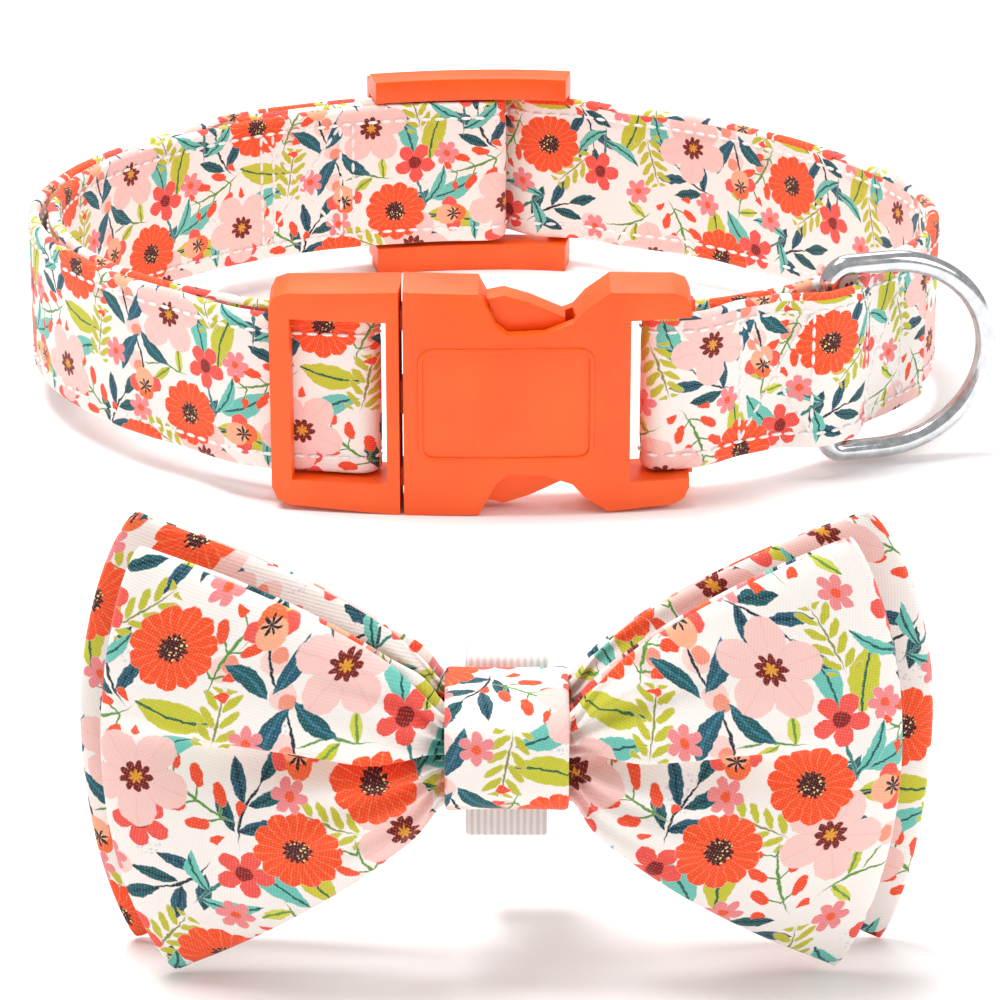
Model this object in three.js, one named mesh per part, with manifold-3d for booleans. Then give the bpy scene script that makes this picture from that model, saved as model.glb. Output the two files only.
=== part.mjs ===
// A printed cotton pet collar with a side release buckle, a three-bar slider and a steel lead ring,
// together with its two-layer bow tie. The collar stands on its edge and the bow stands upright
// in front of it. Millimetres, +Z up, +Y from the bow towards the back of the collar.

import * as THREE from 'three';
import * as BufferGeometryUtils from 'three/addons/utils/BufferGeometryUtils.js';
import Module from 'manifold-3d';

const wasm = await Module();
wasm.setup();

const group = new THREE.Group();

// ---------------------------------------------------------------- driving dimensions

const GAP = 0.3; // clearance between neighbouring pieces
const STRAP_WIDTH = 25;
const PLY = 2; // thickness of the sewn strap
const BUCKLE_HEIGHT = 35.4;
const MIDDLE_Z = BUCKLE_HEIGHT / 2;
const STRAP_LOW = MIDDLE_Z - STRAP_WIDTH / 2;
const STRAP_HIGH = MIDDLE_Z + STRAP_WIDTH / 2;
const BAR = 2; // thickness of the bars that the strap is sewn round

// Levels of the strap's middle plane, outward from the collar's inner face.
const FIRST_PLY = PLY / 2;
const SECOND_PLY = FIRST_PLY + PLY + GAP;
const THIRD_PLY = SECOND_PLY + PLY + GAP;
const FOURTH_PLY = THIRD_PLY + PLY + GAP;

// The buckle is curved to the neck, so its back face is an arc in the plan.
const BUCKLE_CENTRE_X = -3;
const BUCKLE_BACK_Y = -49.3;
const BUCKLE_RADIUS = 160;

function onBuckleArc(x) {
  const across = x - BUCKLE_CENTRE_X;
  const sagitta = BUCKLE_RADIUS - Math.sqrt(BUCKLE_RADIUS ** 2 - across ** 2);
  return { x, y: BUCKLE_BACK_Y + sagitta };
}

// The inner face of the collar seen from above, from the buckle clockwise to the left side,
// the slider at the back, the right side and the buckle again.
const NECK_PLAN = [
  ...[-3, -9, -15, -21, -27, -34].map(onBuckleArc),
  { x: -41, y: -43 },
  { x: -50.5, y: -37.4 },
  { x: -59.8, y: -28.4 },
  { x: -66.6, y: -16.5 },
  { x: -69.6, y: -3 },
  { x: -67.8, y: 8.5 },
  { x: -62.4, y: 19.5 },
  { x: -53.5, y: 29.4 },
  { x: -41, y: 38.6 },
  { x: -26, y: 45 },
  { x: -10, y: 48.2 },
  { x: 5, y: 48.6 },
  { x: 18.5, y: 46.2 },
  { x: 32, y: 41 },
  { x: 45, y: 31.5 },
  { x: 56, y: 19.8 },
  { x: 63.8, y: 8 },
  { x: 67.2, y: -4 },
  { x: 65.5, y: -15.5 },
  { x: 58.5, y: -26 },
  { x: 50.3, y: -34 },
  { x: 40, y: -41.3 },
  ...[28.3, 21, 15, 9, 3].map(onBuckleArc),
];

// ---------------------------------------------------------------- plan of the collar

const neck = new THREE.CatmullRomCurve3(
  NECK_PLAN.map(({ x, y }) => new THREE.Vector3(x, y, 0)),
  true,
  'centripetal',
);
neck.arcLengthDivisions = 1200;
const NECK_LENGTH = neck.getLength();

// A point of the plan at a distance along the neck line and a distance outward from it.
function planPoint(along, outward) {
  const share = THREE.MathUtils.euclideanModulo(along / NECK_LENGTH, 1);
  const place = neck.getPointAt(share);
  const tangent = neck.getTangentAt(share);
  return new THREE.Vector2(place.x - tangent.y * outward, place.y + tangent.x * outward);
}

// The distance along the neck line of the point nearest to a place in the plan.
function alongNearest(x, y) {
  const steps = 1500;
  let best = 0;
  let least = Infinity;
  for (let i = 0; i < steps; i += 1) {
    const place = neck.getPointAt(i / steps);
    const distance = Math.hypot(place.x - x, place.y - y);
    if (distance < least) {
      least = distance;
      best = (i / steps) * NECK_LENGTH;
    }
  }
  return best;
}

// ---------------------------------------------------------------- solids

function bareGeometry(geometry) {
  const bare = geometry.clone();
  bare.deleteAttribute('normal');
  bare.deleteAttribute('uv');
  return BufferGeometryUtils.mergeVertices(bare, 1e-4);
}

function solidOf(geometry) {
  const merged = bareGeometry(geometry);
  return new wasm.Manifold(
    new wasm.Mesh({
      numProp: 3,
      vertProperties: new Float32Array(merged.attributes.position.array),
      triVerts: new Uint32Array(merged.index.array),
    }),
  );
}

function geometryOf(solid) {
  const mesh = solid.getMesh();
  const geometry = new THREE.BufferGeometry();
  geometry.setAttribute('position', new THREE.BufferAttribute(mesh.vertProperties, 3));
  geometry.setIndex(new THREE.BufferAttribute(mesh.triVerts, 1));
  return geometry;
}

// An upright prism over a plan outline.
function prism(outline, low, high, curveSegments = 6) {
  const shape = outline instanceof THREE.Shape ? outline : new THREE.Shape(outline);
  const geometry = new THREE.ExtrudeGeometry(shape, {
    depth: high - low,
    bevelEnabled: false,
    curveSegments,
  });
  geometry.translate(0, 0, low);
  return geometry;
}

// A prism along Y over an outline drawn in X and Z.
function elevation(shape, front, back, curveSegments = 6) {
  const geometry = new THREE.ExtrudeGeometry(shape, {
    depth: back - front,
    bevelEnabled: false,
    curveSegments,
  });
  geometry.rotateX(Math.PI / 2);
  geometry.translate(0, back, 0);
  return geometry;
}

function addPiece(name, geometry, look) {
  const mesh = new THREE.Mesh(geometry, new THREE.MeshStandardMaterial(look));
  mesh.name = name;
  group.add(mesh);
}

const CLOTH = { color: 0xf4e4dc, roughness: 0.9, metalness: 0 };
const ORANGE_PLASTIC = { color: 0xff6214, roughness: 0.42, metalness: 0 };
const STEEL = { color: 0xc9ccd0, roughness: 0.18, metalness: 1 };
const ELASTIC = { color: 0xf2eeec, roughness: 0.9, metalness: 0 };

// ---------------------------------------------------------------- where things sit along the neck line

const BUCKLE_LEFT = -34.1; // outer end of the insert half
const BUCKLE_PART = -14.3; // parting line of the two halves
const BUCKLE_RIGHT = 28.3; // ends of the socket half's arms
const BUCKLE_DEPTH = 9;

const INSERT_FOLD_X = -17.3; // end of the strap loop round the insert's bar
const SOCKET_FOLD_X = 20.5; // end of the strap loop round the socket's bar
const FOLD_RADIUS = (THIRD_PLY - FIRST_PLY) / 2;
const FOLD_REACH = FOLD_RADIUS + PLY / 2;

const insertFold = BUCKLE_CENTRE_X - INSERT_FOLD_X + FOLD_REACH;
const socketFold = NECK_LENGTH - (SOCKET_FOLD_X - BUCKLE_CENTRE_X) - FOLD_REACH;

const SLIDER_LENGTH = 32;
const SLIDER_BAR = 3.4; // width of the slider's end bars
const SLIDER_MIDDLE_BAR = 5;
const SLIDER_RAIL = 3.8;
const SLIDER_DEPTH = 5.4;
const sliderLeft = alongNearest(-20.7, 46);
const sliderRight = sliderLeft + SLIDER_LENGTH;
const sliderFold = alongNearest(1, 48.6) - FOLD_REACH;

const SEWN_END_LENGTH = 42; // strap end folded back from the slider
const sewnEnd = sliderFold - SEWN_END_LENGTH;
const flapEnd = alongNearest(62.5, -21);

const WIRE = 3.2;
const ringBar = alongNearest(47.4, -36.6);
const RING_BAR_OUTWARD = PLY + GAP + WIRE / 2;

// ---------------------------------------------------------------- strap

// Level of one run of the strap: straight stretches joined by smooth rises.
function levelOn(stops, along) {
  for (let i = 1; i < stops.length; i += 1) {
    const from = stops[i - 1];
    const to = stops[i];
    if (along <= to.along) {
      const share = THREE.MathUtils.smoothstep(along, from.along, to.along);
      return THREE.MathUtils.lerp(from.level, to.level, share);
    }
  }
  return stops[stops.length - 1].level;
}

const sewnStops = [
  { along: sewnEnd, level: SECOND_PLY },
  { along: sliderLeft + 4, level: SECOND_PLY },
  { along: sliderFold - 4, level: THIRD_PLY },
];

const outerStops = [
  { along: insertFold, level: THIRD_PLY },
  { along: insertFold + 16, level: THIRD_PLY },
  { along: insertFold + 30, level: SECOND_PLY },
  { along: insertFold + 42, level: SECOND_PLY },
  { along: insertFold + 66, level: SECOND_PLY + 0.9 },
  { along: insertFold + 90, level: SECOND_PLY },
  { along: sewnEnd - 9, level: SECOND_PLY },
  { along: sewnEnd - 1, level: THIRD_PLY },
  { along: sliderLeft + SLIDER_BAR + 1, level: THIRD_PLY },
  { along: sliderFold - 5, level: FOURTH_PLY },
  { along: sliderFold + 1, level: FOURTH_PLY },
  { along: sliderRight - SLIDER_BAR - 1, level: SECOND_PLY },
  { along: sliderRight + 1, level: SECOND_PLY },
  { along: sliderRight + 12, level: FIRST_PLY },
];

const overRing = RING_BAR_OUTWARD + WIRE / 2 + GAP + PLY / 2;
const flapStops = [
  { along: flapEnd, level: SECOND_PLY },
  { along: ringBar - 9, level: SECOND_PLY },
  { along: ringBar - 2, level: overRing },
  { along: ringBar + 2, level: overRing },
  { along: ringBar + 9, level: SECOND_PLY },
  { along: socketFold - 12, level: SECOND_PLY },
  { along: socketFold - 4, level: THIRD_PLY },
];

// The strap's middle line in the plan, from its sewn end to the end of the flap.
function strapRoute(step) {
  const route = [];
  const run = (from, to, level) => {
    const count = Math.max(1, Math.ceil(Math.abs(to - from) / step));
    for (let i = 0; i <= count; i += 1) {
      const along = THREE.MathUtils.lerp(from, to, i / count);
      route.push({ along, outward: level(along) });
    }
  };
  const fold = (centre, side, startsInside) => {
    const turns = 7;
    for (let i = 1; i < turns; i += 1) {
      const share = startsInside ? i / turns : 1 - i / turns;
      const angle = -Math.PI / 2 + share * Math.PI;
      route.push({
        along: centre + side * FOLD_RADIUS * Math.cos(angle),
        outward: (FIRST_PLY + THIRD_PLY) / 2 + FOLD_RADIUS * Math.sin(angle),
      });
    }
  };
  run(sewnEnd, sliderFold, (along) => levelOn(sewnStops, along));
  fold(sliderFold, 1, false);
  run(sliderFold, insertFold, () => FIRST_PLY);
  fold(insertFold, -1, true);
  run(insertFold, socketFold, (along) => levelOn(outerStops, along));
  fold(socketFold, 1, true);
  run(socketFold, flapEnd, (along) => levelOn(flapStops, along));
  return route.map(({ along, outward }) => planPoint(along, outward));
}

// The outline of a band of one thickness along a route.
function bandOutline(route, thickness) {
  const left = [];
  const right = [];
  route.forEach((place, i) => {
    const before = route[Math.max(0, i - 1)];
    const after = route[Math.min(route.length - 1, i + 1)];
    const across = new THREE.Vector2(before.y - after.y, after.x - before.x).normalize();
    left.push(place.clone().addScaledVector(across, thickness / 2));
    right.push(place.clone().addScaledVector(across, -thickness / 2));
  });
  return left.concat(right.reverse());
}

const STRAP_STEP = 3.4;
addPiece('strap', prism(bandOutline(strapRoute(STRAP_STEP), PLY), STRAP_LOW, STRAP_HIGH), CLOTH);

// ---------------------------------------------------------------- slider

// A stretch of the plan that follows the neck line between two levels.
function neckStrip(from, to, inner, outer, step = 3) {
  const count = Math.max(1, Math.ceil((to - from) / step));
  const near = [];
  const far = [];
  for (let i = 0; i <= count; i += 1) {
    const along = THREE.MathUtils.lerp(from, to, i / count);
    near.push(planPoint(along, inner));
    far.push(planPoint(along, outer));
  }
  return near.concat(far.reverse());
}

function buildSlider() {
  const railLow = 0;
  const railHigh = STRAP_HIGH + GAP;
  const top = railHigh + SLIDER_RAIL;
  const lowTop = STRAP_LOW - 2 * GAP;
  const inner = 0.6;
  const outer = inner + SLIDER_DEPTH;
  const lugOuter = THIRD_PLY + PLY / 2 + GAP + 1.8;
  const strip = (from, to, a, b, low, high) => solidOf(prism(neckStrip(from, to, a, b), low, high));
  let solid = strip(sliderLeft, sliderRight, inner, outer, railLow, lowTop);
  solid = solid.add(strip(sliderLeft, sliderRight, inner, outer, railHigh, top));
  const leftEnd = sliderLeft + SLIDER_BAR;
  solid = solid.add(strip(sliderLeft, leftEnd, outer - 1, lugOuter, 1.2, lowTop));
  solid = solid.add(strip(sliderLeft, leftEnd, outer - 1, lugOuter, railHigh, top - 1.2));
  solid = solid.add(strip(sliderLeft, leftEnd, lugOuter - 1.8, lugOuter, 1.2, top - 1.2));
  const barInner = PLY + GAP;
  const middleEnd = sliderFold;
  const middleStart = middleEnd - SLIDER_MIDDLE_BAR;
  solid = solid.add(strip(middleStart, middleEnd, barInner, barInner + BAR, 1, top - 1));
  const rightStart = sliderRight - SLIDER_BAR;
  const rightInner = SECOND_PLY + PLY / 2 + GAP;
  solid = solid.add(strip(rightStart, sliderRight, rightInner, outer + 0.4, 1, top - 1));
  return geometryOf(solid);
}
addPiece('slider', buildSlider(), ORANGE_PLASTIC);

// ---------------------------------------------------------------- buckle

// A stretch of the buckle's curved plan between two levels.
function buckleStrip(fromX, toX, inner, outer, step = 5) {
  const count = Math.max(1, Math.ceil((toX - fromX) / step));
  const near = [];
  const far = [];
  const centreY = BUCKLE_BACK_Y + BUCKLE_RADIUS;
  const place = (x, level) => {
    const angle = (x - BUCKLE_CENTRE_X) / BUCKLE_RADIUS;
    return new THREE.Vector2(
      BUCKLE_CENTRE_X + (BUCKLE_RADIUS + level) * Math.sin(angle),
      centreY - (BUCKLE_RADIUS + level) * Math.cos(angle),
    );
  };
  for (let i = 0; i <= count; i += 1) {
    const x = THREE.MathUtils.lerp(fromX, toX, i / count);
    near.push(place(x, inner));
    far.push(place(x, outer));
  }
  return far.concat(near.reverse());
}

function buckleBlock(fromX, toX, inner, outer, low, high) {
  return solidOf(prism(buckleStrip(fromX, toX, inner, outer), low, high));
}

const FRONT_Y = -70;
const BACK_Y = -35;
const END_HEIGHT = 33.6; // both ends are a little lower than the middle
const END_RADIUS = 2.6;
const SLOT_LOW = STRAP_LOW - GAP;
const SLOT_HIGH = STRAP_HIGH + GAP;

// Mirrors the upper half of a symmetric outline about the buckle's middle height.
function symmetricOutline(upper) {
  const lower = upper.map(([x, above]) => new THREE.Vector2(x, MIDDLE_Z - above)).reverse();
  return upper.map(([x, above]) => new THREE.Vector2(x, MIDDLE_Z + above)).concat(lower);
}

function elevationSolid(points) {
  return solidOf(elevation(new THREE.Shape(points), FRONT_Y, BACK_Y));
}

const HALF = BUCKLE_HEIGHT / 2;
const HALF_END = END_HEIGHT / 2;

function buildInsert() {
  const outline = symmetricOutline([
    [BUCKLE_LEFT, HALF_END - END_RADIUS],
    [BUCKLE_LEFT + 0.8, HALF_END - 0.8],
    [BUCKLE_LEFT + END_RADIUS, HALF_END],
    [BUCKLE_PART - GAP, HALF],
  ]);
  let solid = elevationSolid(outline);
  solid = solid.intersect(buckleBlock(BUCKLE_LEFT - 1, BUCKLE_PART, 0.2, BUCKLE_DEPTH, -1, 40));
  const windowLeft = -29.7;
  const windowRight = -16.1;
  const everyLevel = [-3, BUCKLE_DEPTH + 3];
  solid = solid.subtract(buckleBlock(windowLeft, windowRight, ...everyLevel, SLOT_LOW, SLOT_HIGH));
  const barLevel = THIRD_PLY + PLY / 2 + GAP;
  solid = solid.subtract(
    buckleBlock(BUCKLE_LEFT - 3, windowLeft + 1, -3, barLevel, SLOT_LOW, SLOT_HIGH),
  );
  const barInner = PLY + GAP;
  const barRight = INSERT_FOLD_X - FOLD_REACH;
  solid = solid.add(
    buckleBlock(barRight - 4.3, barRight, barInner, barInner + BAR, SLOT_LOW - 1, SLOT_HIGH + 1),
  );
  // Spring prongs with finger pads, and the guide prong between them.
  const armUpper = [
    [BUCKLE_PART - 1.5, 13.9],
    [-1, 13.9],
    [-1.9, 16],
    [0.6, 16.5],
    [4.4, 15.3],
    [9.6, 12.9],
    [9.6, 11.2],
    [3, 10.4],
    [BUCKLE_PART - 1.5, 10.9],
  ];
  const armLevels = buckleBlock(BUCKLE_PART - 3, 11, 2.4, 6.6, -1, 40);
  for (const side of [1, -1]) {
    const points = armUpper.map(([x, above]) => new THREE.Vector2(x, MIDDLE_Z + side * above));
    if (side === 1) {
      points.reverse();
    }
    solid = solid.add(elevationSolid(points).intersect(armLevels));
  }
  solid = solid.add(buckleBlock(BUCKLE_PART - 1.5, 5, 3, 6, MIDDLE_Z - 2.6, MIDDLE_Z + 2.6));
  return geometryOf(solid);
}

function buildSocket() {
  const outline = symmetricOutline([
    [BUCKLE_PART, HALF],
    [-3.2, HALF - 0.2],
    [-2.3, 15.8],
    [-0.6, 12.5],
    [1.2, 11],
    [6.5, 11.2],
    [10.8, 12.8],
    [12.6, 14.9],
    [16.2, HALF - 0.3],
    [BUCKLE_RIGHT - END_RADIUS, HALF_END],
    [BUCKLE_RIGHT - 0.8, HALF_END - 0.8],
    [BUCKLE_RIGHT, HALF_END - END_RADIUS],
  ]);
  let solid = elevationSolid(outline);
  solid = solid.intersect(buckleBlock(BUCKLE_PART, BUCKLE_RIGHT + 1, 0, BUCKLE_DEPTH, -1, 40));
  const cavityTop = 14.3;
  solid = solid.subtract(
    buckleBlock(BUCKLE_PART - 2, 10.6, 2, 7, MIDDLE_Z - cavityTop, MIDDLE_Z + cavityTop),
  );
  const slotLeft = 18.2;
  solid = solid.subtract(
    buckleBlock(slotLeft, BUCKLE_RIGHT + 3, -3, BUCKLE_DEPTH + 3, SLOT_LOW, SLOT_HIGH),
  );
  const barInner = PLY + GAP;
  const barLeft = SOCKET_FOLD_X + FOLD_REACH;
  solid = solid.add(
    buckleBlock(barLeft, barLeft + 4.5, barInner, barInner + BAR, SLOT_LOW - 1, SLOT_HIGH + 1),
  );
  return geometryOf(solid);
}

addPiece('buckle_insert', buildInsert(), ORANGE_PLASTIC);
addPiece('buckle_socket', buildSocket(), ORANGE_PLASTIC);

// ---------------------------------------------------------------- lead ring

const RING_HALF_HEIGHT = 15.1; // of the wire's middle line
const RING_REACH = 25.6;
const RING_STRAIGHT = 9;
const RING_CORNER = 3;
const RING_DIRECTION = THREE.MathUtils.degToRad(15);

function wireSection(sides) {
  const shape = new THREE.Shape();
  for (let i = 0; i < sides; i += 1) {
    const angle = (2 * Math.PI * i) / sides;
    const x = (WIRE / 2) * Math.cos(angle);
    const y = (WIRE / 2) * Math.sin(angle);
    if (i === 0) {
      shape.moveTo(x, y);
    } else {
      shape.lineTo(x, y);
    }
  }
  shape.closePath();
  return shape;
}

function buildRing() {
  const direction = new THREE.Vector2(Math.cos(RING_DIRECTION), Math.sin(RING_DIRECTION));
  const base = planPoint(ringBar, RING_BAR_OUTWARD);
  const at = (reach, above) =>
    new THREE.Vector3(base.x + direction.x * reach, base.y + direction.y * reach, MIDDLE_Z + above);
  const places = [];
  const cornerSteps = 4;
  const arcSteps = 20;
  places.push(at(0, -RING_HALF_HEIGHT + RING_CORNER + 1.5));
  for (let i = 0; i <= cornerSteps; i += 1) {
    const angle = (Math.PI / 2) * (i / cornerSteps);
    const reach = RING_CORNER * (1 - Math.cos(angle));
    places.push(at(reach, -RING_HALF_HEIGHT + RING_CORNER * (1 - Math.sin(angle))));
  }
  for (let i = 0; i <= arcSteps; i += 1) {
    const angle = -Math.PI / 2 + Math.PI * (i / arcSteps);
    const reach = RING_STRAIGHT + (RING_REACH - RING_STRAIGHT) * Math.cos(angle);
    places.push(at(reach, RING_HALF_HEIGHT * Math.sin(angle)));
  }
  for (let i = cornerSteps; i >= 0; i -= 1) {
    const angle = (Math.PI / 2) * (i / cornerSteps);
    const reach = RING_CORNER * (1 - Math.cos(angle));
    places.push(at(reach, RING_HALF_HEIGHT - RING_CORNER * (1 - Math.sin(angle))));
  }
  places.push(at(0, RING_HALF_HEIGHT - RING_CORNER - 1.5));
  const path = new THREE.CatmullRomCurve3(places, false, 'centripetal');
  const bow = new THREE.ExtrudeGeometry(wireSection(10), {
    steps: 56,
    extrudePath: path,
    bevelEnabled: false,
  });
  const length = 2 * (RING_HALF_HEIGHT - RING_CORNER);
  const bar = new THREE.CylinderGeometry(WIRE / 2, WIRE / 2, length, 16);
  bar.rotateX(Math.PI / 2);
  bar.translate(base.x, base.y, MIDDLE_Z);
  return geometryOf(solidOf(bow).add(solidOf(bar)));
}
addPiece('d_ring', buildRing(), STEEL);

// ---------------------------------------------------------------- bow tie

const BOW_X = 0.8;
const BOW_Z = 29.3;
const KNOT_WIDTH = 14.6;
const KNOT_HALF_HEIGHT = 8;
const BOW_WALL = 1.3;
const WING_POWER = 0.6; // how the wings widen away from the knot

// Ends of the wings: how far each reaches from the bow's middle at its top, middle and bottom,
// and how far its top and bottom corners lie above and below the knot's middle height.
const WINGS = {
  front: {
    middleY: -197.2,
    frontDepth: 3.4,
    rearDepth: 2.6,
    left: { top: 42.2, middle: 47.6, bottom: 39.6, above: 26.8, below: 28.9 },
    right: { top: 39.4, middle: 46.4, bottom: 39.4, above: 27.9, below: 28.4 },
  },
  back: {
    middleY: -188.6,
    frontDepth: 2.6,
    rearDepth: 3,
    left: { top: 43.3, middle: 50.8, bottom: 45, above: 27.4, below: 29.3 },
    right: { top: 42.3, middle: 50.8, bottom: 45.6, above: 27.7, below: 29.3 },
  },
};

const SQUEEZED = 1.9; // half depth of each layer under the knot
const KNOT_SHARE = 0.16; // share of each wing that is under the knot

// One point of a bow layer's face. `side` is -1 for the left wing and 1 for the right, `out` runs
// from the knot's middle (0) to the wing's end (1), `up` from the bottom edge (-1) to the top (1).
function wingPoint(layer, side, out, up, face, inset) {
  const end = side < 0 ? layer.left : layer.right;
  const away = 1 - up * up;
  const corner = up > 0 ? end.top : end.bottom;
  const reach = THREE.MathUtils.lerp(end.middle, corner, 1 - Math.pow(away, 0.8));
  const flare = Math.max(0, (out - KNOT_SHARE) / (1 - KNOT_SHARE));
  const underKnot = Math.min(1, out / KNOT_SHARE) * (KNOT_WIDTH / 2 + 2 * GAP);
  const across = underKnot + flare * (reach - KNOT_WIDTH / 2 - 2 * GAP);
  const cornerHeight = up > 0 ? end.above : end.below;
  const height = THREE.MathUtils.lerp(KNOT_HALF_HEIGHT, cornerHeight, Math.pow(flare, WING_POWER));
  const full = face < 0 ? layer.frontDepth : layer.rearDepth;
  const puff = Math.pow(Math.sin(Math.PI * flare * 0.9), 0.7);
  const edge = Math.pow(Math.max(0, 1 - Math.pow(Math.abs(up), 3)), 0.5);
  const tip = Math.sqrt(Math.max(0, 1 - Math.pow(out, 10)));
  const crease = Math.exp(-Math.pow(up / 0.14, 2)) * Math.pow(1 - flare, 1.5) * Math.sign(flare);
  const swell = (full - SQUEEZED) * puff * (0.35 + 0.65 * edge) + (face < 0 ? -0.9 * crease : 0);
  const depth = Math.max(0.25, (SQUEEZED + swell) * (0.12 + 0.88 * tip) - inset);
  return new THREE.Vector3(
    BOW_X + side * (across - inset * Math.pow(out, 6)),
    layer.middleY + face * depth,
    BOW_Z + up * height,
  );
}

// A bow layer: cloth folded into a flat loop whose ends are the wings' outer folds, open along
// its top and bottom edges, and squeezed under the knot.
function buildBowLayer(layer) {
  const outs = [KNOT_SHARE / 2, KNOT_SHARE, 0.24, 0.34, 0.48, 0.64, 0.8, 0.92, 0.98];
  const rows = 14;
  const loop = [];
  const lastOut = 1;
  for (const out of outs) {
    loop.push({ side: -1, out, face: -1 });
  }
  loop.push({ side: -1, out: lastOut, face: -1 });
  for (const out of outs.slice().reverse()) {
    loop.push({ side: -1, out, face: 1 });
  }
  for (const out of outs) {
    loop.push({ side: 1, out, face: 1 });
  }
  loop.push({ side: 1, out: lastOut, face: 1 });
  for (const out of outs.slice().reverse()) {
    loop.push({ side: 1, out, face: -1 });
  }
  const positions = [];
  const around = loop.length;
  for (const inset of [0, BOW_WALL]) {
    for (let row = 0; row <= rows; row += 1) {
      const up = -1 + (2 * row) / rows;
      for (const { side, out, face } of loop) {
        const point = wingPoint(layer, side, out, up, face, inset);
        positions.push(point.x, point.y, point.z);
      }
    }
  }
  const index = [];
  const at = (shell, row, i) => shell * around * (rows + 1) + row * around + (i % around);
  const quad = (a, b, c, d) => {
    index.push(a, b, c, a, c, d);
  };
  for (let i = 0; i < around; i += 1) {
    for (let row = 0; row < rows; row += 1) {
      quad(at(0, row, i), at(0, row + 1, i), at(0, row + 1, i + 1), at(0, row, i + 1));
      quad(at(1, row, i), at(1, row, i + 1), at(1, row + 1, i + 1), at(1, row + 1, i));
    }
    quad(at(0, 0, i), at(0, 0, i + 1), at(1, 0, i + 1), at(1, 0, i));
    quad(at(0, rows, i), at(1, rows, i), at(1, rows, i + 1), at(0, rows, i + 1));
  }
  const geometry = new THREE.BufferGeometry();
  geometry.setAttribute('position', new THREE.Float32BufferAttribute(positions, 3));
  geometry.setIndex(index);
  return geometry;
}

addPiece('bow_front', buildBowLayer(WINGS.front), CLOTH);
addPiece('bow_back', buildBowLayer(WINGS.back), CLOTH);

// A flat loop of cloth whose opening runs along X.
function loopAlongX(front, back, low, high, wall, corner, width) {
  const rounded = (inset) => {
    const shape = new THREE.Path();
    const radius = Math.max(0.3, corner - inset);
    const a = front + inset;
    const b = back - inset;
    const c = low + inset;
    const d = high - inset;
    shape.moveTo(a + radius, c);
    shape.lineTo(b - radius, c);
    shape.absarc(b - radius, c + radius, radius, -Math.PI / 2, 0, false);
    shape.lineTo(b, d - radius);
    shape.absarc(b - radius, d - radius, radius, 0, Math.PI / 2, false);
    shape.lineTo(a + radius, d);
    shape.absarc(a + radius, d - radius, radius, Math.PI / 2, Math.PI, false);
    shape.lineTo(a, c + radius);
    shape.absarc(a + radius, c + radius, radius, Math.PI, 1.5 * Math.PI, false);
    return shape;
  };
  const shape = new THREE.Shape(rounded(0).getPoints(5));
  shape.holes.push(new THREE.Path(rounded(wall).getPoints(5)));
  const geometry = new THREE.ExtrudeGeometry(shape, { depth: width, bevelEnabled: false });
  geometry.applyMatrix4(new THREE.Matrix4().set(0, 0, 1, 0, 1, 0, 0, 0, 0, 1, 0, 0, 0, 0, 0, 1));
  geometry.translate(BOW_X - width / 2, 0, 0);
  return geometry;
}

const KNOT_WALL = 1.5;
const knotFront = WINGS.front.middleY - SQUEEZED - 2 * GAP - KNOT_WALL;
const knotBack = WINGS.back.middleY + SQUEEZED + 2 * GAP + KNOT_WALL;
const knotLow = BOW_Z - KNOT_HALF_HEIGHT - GAP - KNOT_WALL;
const knotHigh = BOW_Z + KNOT_HALF_HEIGHT + GAP + KNOT_WALL;
addPiece(
  'bow_knot',
  loopAlongX(knotFront, knotBack, knotLow, knotHigh, KNOT_WALL, 1.9, KNOT_WIDTH),
  CLOTH,
);

const ELASTIC_WIDTH = 10;
const ELASTIC_WALL = 0.8;
const ELASTIC_OPENING = 4.8; // room for the sewn strap
const ELASTIC_HALF_HEIGHT = 12.2; // relaxed, it stretches over the strap's width
const ELASTIC_Z = 23.4;
const elasticFront = knotBack + GAP;
const elasticBack = elasticFront + 2 * ELASTIC_WALL + ELASTIC_OPENING;
addPiece(
  'bow_elastic',
  loopAlongX(
    elasticFront,
    elasticBack,
    ELASTIC_Z - ELASTIC_HALF_HEIGHT,
    ELASTIC_Z + ELASTIC_HALF_HEIGHT,
    ELASTIC_WALL,
    1.8,
    ELASTIC_WIDTH,
  ),
  ELASTIC,
);

// The origin is the middle of the part's footprint, on the surface that it stands on.
const bounds = new THREE.Box3().setFromObject(group);
const middle = bounds.getCenter(new THREE.Vector3());
group.position.set(-middle.x, -middle.y, -bounds.min.z);
group.updateMatrixWorld(true);

export default group;
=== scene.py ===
import bisect
import math

import bmesh
import bpy
from mathutils import Matrix, Vector, noise


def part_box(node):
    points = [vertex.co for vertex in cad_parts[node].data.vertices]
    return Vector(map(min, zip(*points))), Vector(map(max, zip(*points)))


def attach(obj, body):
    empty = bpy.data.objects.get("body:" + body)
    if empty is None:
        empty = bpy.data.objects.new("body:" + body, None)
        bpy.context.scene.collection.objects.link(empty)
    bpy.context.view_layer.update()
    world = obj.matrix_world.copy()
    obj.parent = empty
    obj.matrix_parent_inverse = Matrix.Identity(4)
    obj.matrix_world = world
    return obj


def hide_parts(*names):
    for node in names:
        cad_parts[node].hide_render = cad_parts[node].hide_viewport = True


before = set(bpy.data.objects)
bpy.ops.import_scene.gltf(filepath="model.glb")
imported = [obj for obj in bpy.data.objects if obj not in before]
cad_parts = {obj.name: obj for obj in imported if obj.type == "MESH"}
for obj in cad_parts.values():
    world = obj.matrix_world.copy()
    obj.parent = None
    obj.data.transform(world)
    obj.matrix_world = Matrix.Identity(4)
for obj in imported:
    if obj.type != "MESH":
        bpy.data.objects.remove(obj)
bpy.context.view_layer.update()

# ---- studio ---------------------------------------------------------------------------------
# A white table and soft daylight from large lamps, as for a shop's picture of small goods. The
# drawing frame's origin is found again from the buckle and the bow's knot, whose places are known.
MM = 0.001
PARTING_X, KNOT_FRONT_Y = -14.3, -201.2
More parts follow.
